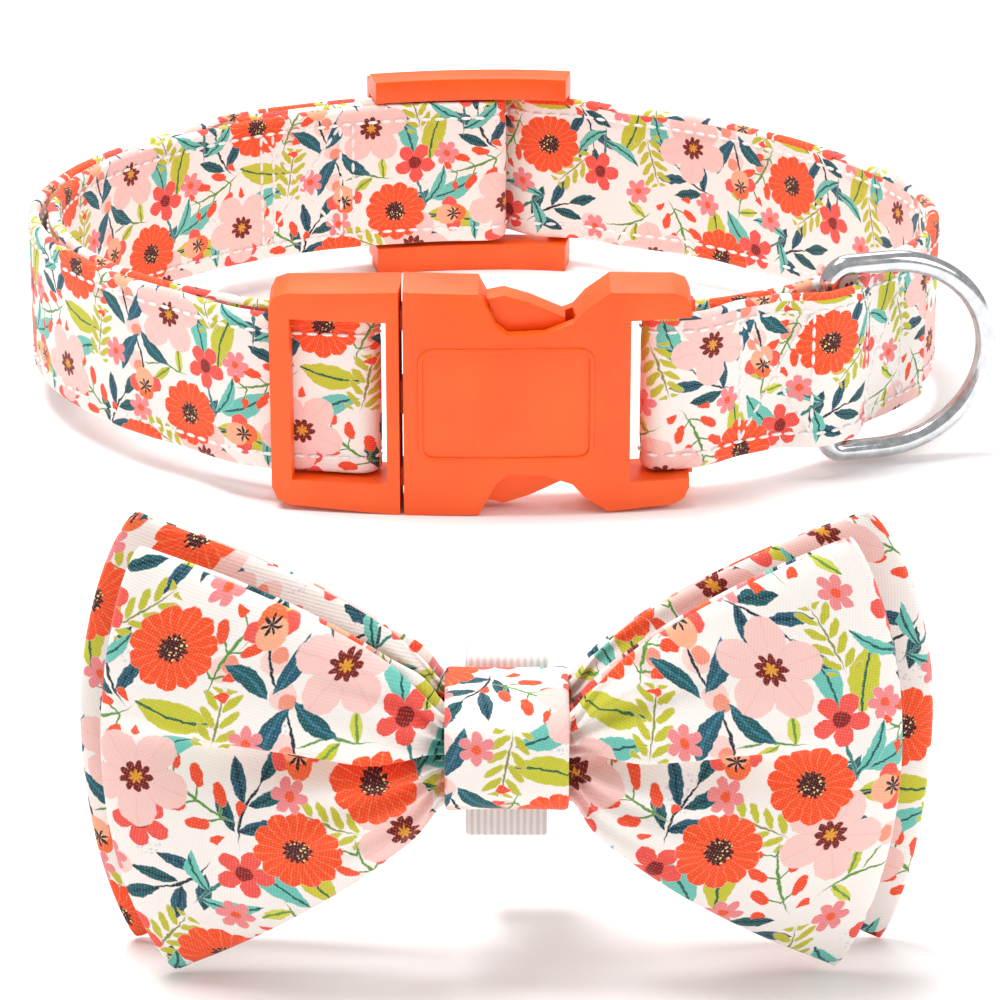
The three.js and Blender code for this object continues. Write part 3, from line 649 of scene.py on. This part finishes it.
# Half of the section, as height from the middle and offset; the edges are folded round.
EDGE_ROUND = 0.9
STITCH_IN = 2.7
section = []
HALF_WIDTH = STRAP_WIDTH / 2
FACE_ROWS = 13
for face in (1, -1):
    for i in range(FACE_ROWS):
        height = (HALF_WIDTH - EDGE_ROUND) * (1 - 2 * i / (FACE_ROWS - 1)) * face
        dip = 0.16 * math.exp(-(((abs(height) - (HALF_WIDTH - STITCH_IN)) / 0.7) ** 2))
        section.append((height, face * (PLY / 2 - dip - 0.02)))
    for i in range(1, 4):
        angle = math.pi / 2 - math.pi * i / 4
        section.append(
            (-face * (HALF_WIDTH - EDGE_ROUND + EDGE_ROUND * math.cos(angle)),
             face * PLY / 2 * math.sin(angle))
        )
girth = [0.0]
for a, b in zip(section, section[1:] + section[:1]):
    girth.append(girth[-1] + math.hypot(b[0] - a[0], b[1] - a[1]))

bm = bmesh.new()
cloth_map = bm.loops.layers.uv.new("cloth")
bmesh.ops.create_grid(bm, x_segments=len(line) - 1, y_segments=len(section), size=0.5)
rows, columns = len(line) - 1, len(section)
spots = {}
for vert in bm.verts:
    spots[vert.index] = (round((vert.co.x + 0.5) * rows), round((vert.co.y + 0.5) * columns))
for face in bm.faces:
    for loop in face.loops:
        row, column = spots[loop.vert.index]
        loop[cloth_map].uv = (travel[row], girth[column])
for vert in bm.verts:
    row, column = spots[vert.index]
    height, off = section[column % columns]
    # Sewing draws the cloth in a little, so its faces and edges are never quite even.
    pucker = noise.noise(Vector((travel[row] * 0.16, height * 0.2, off * 3)))
    height += 0.12 * pucker * abs(height) / HALF_WIDTH
    off *= 1 - 0.06 * abs(pucker)
    spot, side = line[row], across[row]
    vert.co = place(spot.x + side.x * off, spot.y + side.y * off, MIDDLE_Z + height)
bmesh.ops.remove_doubles(bm, verts=bm.verts, dist=1e-6)
bmesh.ops.holes_fill(bm, edges=[e for e in bm.edges if e.is_boundary], sides=0)
bmesh.ops.recalc_face_normals(bm, faces=bm.faces)
strap_cloth = printed_cotton("printed_quilting_cotton_strap", (7.0, -1.5))
strap = new_piece("strap_band", bm, strap_cloth)
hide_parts("strap")

# ---- top stitching --------------------------------------------------------------------------------
# White polyester sewing thread, lock stitched through both faces: a row near each edge, and crossed
# boxes where the strap is sewn round the slider, the lead ring and the buckle.
thread_look, tree, surface = new_material("white_polyester_thread")
spot = wire(tree, "ShaderNodeTexCoord", out=3)
twist = wire(tree, "ShaderNodeTexNoise", {"Vector": spot, "Scale": 2500.0})
tint = wire(tree, "ShaderNodeMapRange", (twist, 0.3, 0.7, 0.0, 1.0))
tint = wire(
    tree, "ShaderNodeMix", {0: tint, 6: linear("E9E2DE"), 7: linear("FFFDFB")}, out=2, data_type="RGBA"
)
tree.links.new(tint, surface.inputs["Base Color"])
surface.inputs["Roughness"].default_value = 0.6
surface.inputs["Sheen Weight"].default_value = 0.2

STITCH_PITCH, STITCH_HALF, THREAD_HALF = 2.3, 0.95, 0.3
thread_bm = bmesh.new()


def sew(start, end, face):
    """A row of stitches between two points (distance along the strap, height) on one face."""
    span = Vector((end[0] - start[0], end[1] - start[1]))
    count = max(1, round(span.length / STITCH_PITCH))
    some, holder = bmesh.new(), bpy.data.meshes.new("row_of_stitches")
    for i in range(count):
        share = (i + 0.5) / count
        distance, height = start[0] + span.x * share, start[1] + span.y * share
        middle = on_strap(distance, height, face * (PLY / 2 - 0.02))
        step = span.normalized() * 0.5
        ahead = on_strap(distance + step.x, height + step.y, face * (PLY / 2 - 0.02))
        out = (on_strap(distance, height, face * (PLY / 2 + 0.5)) - middle).normalized()
        run = (ahead - middle).normalized()
        side = out.cross(run)
        turn = Matrix((run, side, out)).transposed().to_4x4()
        size = Matrix.Diagonal((STITCH_HALF * MM, THREAD_HALF * MM, 0.24 * MM, 1))
        lie = Matrix.Translation(middle) @ turn @ size
        bmesh.ops.create_uvsphere(some, u_segments=7, v_segments=5, radius=1, matrix=lie)
        if i % 20 == 19 or i == count - 1:
            some.to_mesh(holder)
            thread_bm.from_mesh(holder)
            some.clear()
    some.free()
    bpy.data.meshes.remove(holder)


ROW = HALF_WIDTH - STITCH_IN
for face in (1, -1):
    for height in (ROW, -ROW):
        sew((1.0, height), (STRAP_LENGTH - 1.0, height), face)

folds = [i for i, row in enumerate(route) if row[1] == FIRST_PLY]
inner_first, inner_last = folds[0], folds[0] + math.ceil((slider_fold - insert_fold) / 1.1)
outer_first = inner_last + 12
outer_last = outer_first + math.ceil((socket_fold - insert_fold) / 1.1)
flap_first = outer_last + 12


def crossed_box(start, end, face):
    """A stitched box with a cross in it, between two distances along the strap."""
    low, high = sorted((start, end))
    for distance in (low, high):
        sew((distance, -ROW), (distance, ROW), face)
    sew((low, -ROW), (high, ROW), face)
    sew((low, ROW), (high, -ROW), face)


inner_box = [travel_at(sewn_end + extra, inner_first, inner_last) for extra in (2.5, 17.0)]
crossed_box(*inner_box, 1)
crossed_box(*inner_box, -1)
for extra in (4.6, 19.2):
    there = travel_at(sewn_end + extra, inner_first, inner_last)
    for face in (1, -1):
        sew((there, -ROW), (there, ROW), face)
for first, second in ((ring_bar + 15.0, ring_bar + 4.8), (ring_bar - 6.0, ring_bar - 15.5)):
    flap = [travel_at(place_along, flap_first, len(route)) for place_along in (first, second)]
    crossed_box(*flap, 1)
    crossed_box(*flap, -1)
stitches = new_piece("strap_stitches", thread_bm, thread_look)

# ---- buckle and slider ----------------------------------------------------------------------------
# Acetal mouldings in a glossy orange, with edges rounded by the mould and a very fine texture from
# its eroded steel. The buckle's two halves are curved to the neck; the slider is a three-bar frame.
acetal, tree, surface = new_material("moulded_orange_acetal")
spot = wire(tree, "ShaderNodeTexCoord", out=3)
cloud = wire(tree, "ShaderNodeTexNoise", {"Vector": spot, "Scale": 90.0, "Detail": 3.0})
tone = wire(tree, "ShaderNodeMapRange", (cloud, 0.3, 0.7, 0.0, 1.0))
tone = wire(
    tree, "ShaderNodeMix", {0: tone, 6: linear("F65608"), 7: linear("FB6210")}, out=2, data_type="RGBA"
)
tree.links.new(tone, surface.inputs["Base Color"])
# Spark-eroded mould texture of about 0.1 mm, drawn at 0.25 mm.
grit = wire(tree, "ShaderNodeTexNoise", {"Vector": spot, "Scale": 4000.0, "Detail": 2.0})
rough = wire(tree, "ShaderNodeMapRange", (grit, 0.3, 0.7, 0.33, 0.45))
tree.links.new(rough, surface.inputs["Roughness"])
bump = wire(tree, "ShaderNodeBump", {"Strength": 0.12, "Distance": 0.00005, "Height": grit})
tree.links.new(bump, surface.inputs["Normal"])
surface.inputs["IOR"].default_value = 1.48
surface.inputs["Subsurface Weight"].default_value = 0.06
surface.inputs["Subsurface Scale"].default_value = 0.002


def moulding(node, name, radius):
    """The node's own solid with its edges rounded as the mould leaves them."""
    bm = bmesh.new()
    bm.from_mesh(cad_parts[node].data)
    bmesh.ops.remove_doubles(bm, verts=bm.verts, dist=1e-6)
    bmesh.ops.dissolve_limit(
        bm, angle_limit=math.radians(0.6), verts=bm.verts, edges=bm.edges
    )
    piece = new_piece(name, bm, acetal)
    rounding = piece.modifiers.new("rounding", "BEVEL")
    rounding.width = radius * MM
    rounding.segments = 4
    rounding.limit_method = "ANGLE"
    rounding.angle_limit = math.radians(24)
    rounding.harden_normals = True
    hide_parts(node)
    return piece


moulding("buckle_socket", "socket_half", 1.1)
moulding("buckle_insert", "insert_half", 1.0)
moulding("slider", "slider_frame", 1.0)


def on_buckle(x, level, z):
    """A point of the curved buckle, by its place along it, its level and its height."""
    angle = (x - BUCKLE_CENTRE_X) / BUCKLE_RADIUS
    reach = BUCKLE_RADIUS + level
    return place(
        BUCKLE_CENTRE_X + reach * math.sin(angle),
        BUCKLE_BACK_Y + BUCKLE_RADIUS - reach * math.cos(angle),
        z,
    )


# The raised line round the socket's plain panel.
RIB_X, RIB_HALF_WIDTH, RIB_HALF_HEIGHT, RIB_CORNER, RIB_HALF = 0.7, 12.0, 8.6, 1.8, 0.36
bm = bmesh.new()
bmesh.ops.create_grid(bm, x_segments=96, y_segments=8, size=0.5)
for vert in bm.verts:
    turn = (vert.co.x + 0.5) * 4
    side, share = int(turn) % 4, turn % 1.0
    corners = ((1, 1), (-1, 1), (-1, -1), (1, -1))
    a, b = corners[side], corners[(side + 1) % 4]
    x = (a[0] + (b[0] - a[0]) * share) * RIB_HALF_WIDTH
    y = (a[1] + (b[1] - a[1]) * share) * RIB_HALF_HEIGHT
    inner_x = max(-RIB_HALF_WIDTH + RIB_CORNER, min(RIB_HALF_WIDTH - RIB_CORNER, x))
    inner_y = max(-RIB_HALF_HEIGHT + RIB_CORNER, min(RIB_HALF_HEIGHT - RIB_CORNER, y))
    out = Vector((x - inner_x, y - inner_y)).normalized()
    section_angle = 2 * math.pi * (vert.co.y + 0.5)
    reach = RIB_CORNER + RIB_HALF * math.cos(section_angle)
    rise = 9.05 + 0.34 * math.sin(section_angle)
    vert.co = on_buckle(
        RIB_X + inner_x + out.x * reach, rise, MIDDLE_Z + inner_y + out.y * reach
    )
bmesh.ops.remove_doubles(bm, verts=bm.verts, dist=1e-6)
bmesh.ops.recalc_face_normals(bm, faces=bm.faces)
new_piece("socket_panel_rib", bm, acetal)

# ---- lead ring --------------------------------------------------------------------------------------
# Round steel wire bent to a D, welded, and nickel plated, with a polished surface that shows faint
# marks from tumbling. Its straight bar lies in the sewn loop of the strap.
nickel, tree, surface = new_material("nickel_plated_wire")
spot = wire(tree, "ShaderNodeTexCoord", out=3)
marks = wire(tree, "ShaderNodeTexNoise", {"Vector": spot, "Scale": 700.0, "Detail": 3.0})
rough = wire(tree, "ShaderNodeMapRange", (marks, 0.3, 0.7, 0.08, 0.2))
tree.links.new(rough, surface.inputs["Roughness"])
stain = wire(tree, "ShaderNodeMapRange", (marks, 0.3, 0.7, 0.0, 1.0))
stain = wire(
    tree, "ShaderNodeMix", {0: stain, 6: linear("BFC2C6"), 7: linear("DADCDF")}, out=2, data_type="RGBA"
)
tree.links.new(stain, surface.inputs["Base Color"])
surface.inputs["Metallic"].default_value = 1.0
bump = wire(tree, "ShaderNodeBump", {"Strength": 0.05, "Distance": 0.00005, "Height": marks})
tree.links.new(bump, surface.inputs["Normal"])

RING_HALF_HEIGHT, RING_REACH, RING_STRAIGHT, RING_CORNER = 15.1, 25.6, 9.0, 3.0
RING_DIRECTION = math.radians(15)
bar = plan_point(ring_bar, RING_BAR_OUTWARD)
outline = []
for i in range(13):
    outline.append((0.0, (RING_HALF_HEIGHT - RING_CORNER) * (1 - 2 * i / 12)))
for i in range(1, 9):
    angle = math.pi / 2 * i / 8
    outline.append(
        (RING_CORNER * (1 - math.cos(angle)),
         -RING_HALF_HEIGHT + RING_CORNER * (1 - math.sin(angle)))
    )
for i in range(49):
    angle = -math.pi / 2 + math.pi * i / 48
    outline.append(
        (RING_STRAIGHT + (RING_REACH - RING_STRAIGHT) * math.cos(angle),
         RING_HALF_HEIGHT * math.sin(angle))
    )
for i in range(8):
    angle = math.pi / 2 * (1 - i / 8)
    outline.append(
        (RING_CORNER * (1 - math.cos(angle)),
         RING_HALF_HEIGHT - RING_CORNER * (1 - math.sin(angle)))
    )
RING_SIDES = 20
bm = bmesh.new()
bmesh.ops.create_grid(bm, x_segments=len(outline), y_segments=RING_SIDES, size=0.5)
for vert in bm.verts:
    i = round((vert.co.x + 0.5) * len(outline)) % len(outline)
    angle = 2 * math.pi * (vert.co.y + 0.5)
    before, here = Vector(outline[i - 1]), Vector(outline[i])
    run = (Vector(outline[(i + 1) % len(outline)]) - before).normalized()
    out = Vector((-run.y, run.x)) * (WIRE / 2 * math.cos(angle))
    reach, above = here + out
    aside = WIRE / 2 * math.sin(angle)
    vert.co = place(
        bar.x + math.cos(RING_DIRECTION) * reach - math.sin(RING_DIRECTION) * aside,
        bar.y + math.sin(RING_DIRECTION) * reach + math.cos(RING_DIRECTION) * aside,
        MIDDLE_Z + above,
    )
bmesh.ops.remove_doubles(bm, verts=bm.verts, dist=1e-6)
bmesh.ops.recalc_face_normals(bm, faces=bm.faces)
ring = new_piece("lead_ring_wire", bm, nickel, body="lead_ring")
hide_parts("d_ring")

# ---- bow layers ---------------------------------------------------------------------------------------
# Two loops of interlined printed cotton, a wide one behind and a narrower one in front. Each is folded
# flat at its ends, open along its top and bottom edges, and gathered under the knot into one deep crease.
BOW_X, BOW_Z = 0.8, 29.3
KNOT_HALF_WIDTH, KNOT_HALF_HEIGHT, KNOT_SHARE = 7.9, 4.8, 0.16
SQUEEZED, CLOTH_THICK, CLOSED_EDGE = 1.9, 1.0, 0.16
# reach of each wing's end at its top, middle and bottom, and the heights of its corners
FRONT_LAYER = {
    "middle_y": -197.2, "front": 4.4, "rear": 2.6, "crease": 1.0,
    -1: (42.2, 47.6, 39.6, 26.8, 28.9),
    1: (39.4, 46.4, 39.4, 27.9, 28.4),
}
BACK_LAYER = {
    "middle_y": -188.6, "front": 2.6, "rear": 3.0, "crease": 0.3,
    -1: (43.3, 50.8, 45.0, 27.4, 29.3),
    1: (42.3, 50.8, 45.6, 27.7, 29.3),
}


def wing_point(layer, side, out, up, face):
    """A point on a layer's cloth: side -1 or 1, out from the knot to the end, up from -1 to 1."""
    top, middle, bottom, above, below = layer[side]
    away = 1 - up * up
    corner = top if up > 0 else bottom
    reach = middle + (corner - middle) * (1 - away**0.8)
    flare = max(0.0, (out - KNOT_SHARE) / (1 - KNOT_SHARE))
    x = min(1.0, out / KNOT_SHARE) * KNOT_HALF_WIDTH + flare * (reach - KNOT_HALF_WIDTH)
    height = KNOT_HALF_HEIGHT + ((above if up > 0 else below) - KNOT_HALF_HEIGHT) * flare**0.6
    full = layer["front"] if face < 0 else layer["rear"]
    puff = max(0.0, math.sin(math.pi * flare * 0.9)) ** 0.7
    edge = max(0.0, 1 - abs(up) ** 3) ** 0.5
    tip = math.sqrt(max(0.0, 1 - out**10))
    depth = SQUEEZED + (full - SQUEEZED) * puff
    closing = min(1.0, flare * 6)
    depth *= 1 - closing * (1 - CLOSED_EDGE - (1 - CLOSED_EDGE) * edge)
    limit, size = (0.6, 0.8) if face < 0 else (1.0, 1.7)
    size = min(0.9 + 9 * flare, size * max(0.0, 1 - flare / limit) ** 0.8)
    inward = 1.0 if face > 0 else max(0.0, 1 - flare * 12)
    depth += size * (math.sin(19.0 * up + side + face) - inward) * edge
    if face < 0:
        fade = max(0.0, 1 - flare / (1.05 if side < 0 else 0.8)) ** 1.1 * min(1.0, flare * 12)
        groove = up - 0.1 + 0.04 * flare * side
        width = 0.04 + 0.04 * flare if groove > 0 else 0.14 + 0.2 * flare
        depth -= layer["crease"] * (depth + 1.6) * fade**0.7 * math.exp(-((groove / width) ** 2))
        brow = math.exp(-(((groove - 0.16) / 0.13) ** 2))
        depth += layer["crease"] * 3.4 * fade**0.5 * brow * min(1.0, flare * 5)
    lumps = noise.noise(Vector((x * side * 0.07 + 3, up * 1.7, layer["middle_y"] + face)))
    depth += 0.7 * lumps * min(1.0, flare * 3) * edge
    lowest = 0.2 if face < 0 else 0.5
    depth = depth * (0.14 + 0.86 * tip)
    depth = max(lowest, depth)
    sag = 0.5 * noise.noise(Vector((x * side * 0.05, up * 2.0, 7.0))) * flare
    if face < 0:
        sag -= layer["crease"] * 2.1 * fade**0.5 * brow * min(1.0, flare * 5)
    return Vector((BOW_X + side * x, layer["middle_y"] + face * depth, BOW_Z + up * height + sag))


def bow_layer(name, node, layer, shift):
    outs = [0.0] + [KNOT_SHARE * k / 3 for k in (1, 2, 3)]
    outs += [KNOT_SHARE + (0.9 - KNOT_SHARE) * k / 20 for k in range(1, 21)]
    outs += [0.925, 0.95, 0.97, 0.985, 0.995]
    loop = [(-1, out, -1) for out in outs] + [(-1, 1.0, -1)]
    loop += [(-1, out, 1) for out in reversed(outs)]
    loop += [(1, out, 1) for out in outs[1:]] + [(1, 1.0, 1)]
    loop += [(1, out, -1) for out in reversed(outs[1:])]
    rows = 56
    bm = bmesh.new()
    cloth_map = bm.loops.layers.uv.new("cloth")
    bmesh.ops.create_grid(bm, x_segments=len(loop), y_segments=rows, size=0.5)
    grid = {}
    for vert in bm.verts:
        column = round((vert.co.x + 0.5) * len(loop))
        row = round((vert.co.y + 0.5) * rows)
        grid[vert.index] = (column, row)
    shape = [
        [wing_point(layer, *loop[c][:2], -1 + 2 * r / rows, loop[c][2]) for c in range(len(loop))]
        for r in range(rows + 1)
    ]
    middle_row = shape[rows // 2]
    girth = [0.0]
    for a, b in zip(middle_row, middle_row[1:] + middle_row[:1]):
        girth.append(girth[-1] + math.hypot(b.x - a.x, b.y - a.y))
    for face in bm.faces:
        for corner in face.loops:
            column, row = grid[corner.vert.index]
            point = shape[row][column % len(loop)]
            corner[cloth_map].uv = (girth[column], point.z)
    for vert in bm.verts:
        column, row = grid[vert.index]
        vert.co = place(*shape[row][column % len(loop)])
    bmesh.ops.remove_doubles(bm, verts=bm.verts, dist=1e-6)
    bmesh.ops.recalc_face_normals(bm, faces=bm.faces)
    cloth = printed_cotton(f"printed_quilting_cotton_{name}", shift)
    piece = new_piece(name, bm, cloth)
    wall = piece.modifiers.new("cloth", "SOLIDIFY")
    wall.thickness = CLOTH_THICK * MM
    wall.offset = -1
    softness = piece.modifiers.new("softness", "SUBSURF")
    softness.levels = softness.render_levels = 1
    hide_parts(node)
    return piece, girth[-1]


front_layer, front_girth = bow_layer("bow_front_layer", "bow_front", FRONT_LAYER, (12.0, 3.0))
back_layer, back_girth = bow_layer("bow_back_layer", "bow_back", BACK_LAYER, (33.0, 18.0))

# ---- knot and elastic -----------------------------------------------------------------------------------
# A folded band of the same cotton, sewn tight round the middle of both layers, and behind it a plain loop
# of woven elastic that slides on to the collar.


def band_round(name, node, front, back, low, high, wall, corner, half_width, pinch, material):
    """A closed band whose opening runs along X, drawn in a little at the middle of its width."""
    steps, columns = 64, 14
    path = []
    for i in range(steps):
        angle = 2 * math.pi * i / steps
        a, b = (back - front) / 2, (high - low) / 2
        x, y = math.cos(angle), math.sin(angle)
        stretch = 1 / max(abs(x), abs(y))
        px, py = x * stretch * a, y * stretch * b
        inner_x = max(-a + corner, min(a - corner, px))
        inner_y = max(-b + corner, min(b - corner, py))
        out = Vector((px - inner_x, py - inner_y))
        if out.length > 1e-6:
            out = out.normalized() * corner
        path.append(Vector(((front + back) / 2 + inner_x + out.x, (low + high) / 2 + inner_y + out.y)))
    girth = [0.0]
    for p, q in zip(path, path[1:] + path[:1]):
        girth.append(girth[-1] + (q - p).length)
    bm = bmesh.new()
    cloth_map = bm.loops.layers.uv.new("cloth")
    bmesh.ops.create_grid(bm, x_segments=steps, y_segments=columns, size=0.5)
    grid = {
        v.index: (round((v.co.x + 0.5) * steps), round((v.co.y + 0.5) * columns)) for v in bm.verts
    }
    for face in bm.faces:
        for corner_loop in face.loops:
            i, column = grid[corner_loop.vert.index]
            across_mm = (2 * column / columns - 1) * half_width
            corner_loop[cloth_map].uv = (across_mm, girth[i])
    centre = Vector(((front + back) / 2, (low + high) / 2))
    for vert in bm.verts:
        i, column = grid[vert.index]
        share = 2 * column / columns - 1
        spot = path[i % steps] - centre
        draw = 1 - pinch * (1 - share * share)
        wave = pinch * 3 * noise.noise(Vector((share * 1.5, i * 0.11, 2.0)))
        spot = centre + Vector((spot.x + wave, spot.y * draw))
        vert.co = place(BOW_X + share * half_width, spot.x, spot.y)
    bmesh.ops.remove_doubles(bm, verts=bm.verts, dist=1e-6)
    bmesh.ops.recalc_face_normals(bm, faces=bm.faces)
    piece = new_piece(name, bm, material)
    thick = piece.modifiers.new("cloth", "SOLIDIFY")
    thick.thickness = wall * MM
    thick.offset = -1
    softness = piece.modifiers.new("softness", "SUBSURF")
    softness.levels = softness.render_levels = 1
    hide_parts(node)
    return piece, girth[-1]


knot_cloth = printed_cotton("printed_quilting_cotton_knot", (46.0, 12.0))
knot_low, knot_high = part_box("bow_knot")
knot, knot_girth = band_round(
    "knot_band", "bow_knot",
    knot_low[1] / MM - ORIGIN_Y, knot_high[1] / MM - ORIGIN_Y,
    BOW_Z - 7.2, BOW_Z + 7.2,
    1.2, 4.6, 7.3, 0.03, knot_cloth,
)

elastic_look, tree, surface = new_material("woven_white_elastic")
along = wire(tree, "ShaderNodeUVMap", uv_map="cloth")
# Ribs every 0.8 mm across the elastic's width; the grooves between them are painted darker, as painted
# shade.
ribs = wire(tree, "ShaderNodeSeparateXYZ", (along,))
ribs = wire(tree, "ShaderNodeMath", (ribs, 2 * math.pi / 0.8), operation="MULTIPLY")
ribs = wire(tree, "ShaderNodeMath", (ribs,), operation="SINE")
ribs = wire(tree, "ShaderNodeMapRange", (ribs, -1.0, 1.0, 0.0, 1.0))
# Painted shade: the colour runs from light rib tops to darker grooves between the ribs.
tint = wire(
    tree, "ShaderNodeMix", {0: ribs, 6: linear("D8D3CF"), 7: linear("F4F0ED")}, out=2, data_type="RGBA"
)
tree.links.new(tint, surface.inputs["Base Color"])
surface.inputs["Roughness"].default_value = 0.85
bump = wire(tree, "ShaderNodeBump", {"Strength": 0.5, "Distance": 0.0002, "Height": ribs})
tree.links.new(bump, surface.inputs["Normal"])
elastic_low, elastic_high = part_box("bow_elastic")
elastic, elastic_girth = band_round(
    "elastic_loop", "bow_elastic",
    elastic_low[1] / MM - ORIGIN_Y, elastic_high[1] / MM - ORIGIN_Y,
    elastic_low[2] / MM, elastic_high[2] / MM,
    0.8, 1.8, 5.0, 0.0, elastic_look,
)
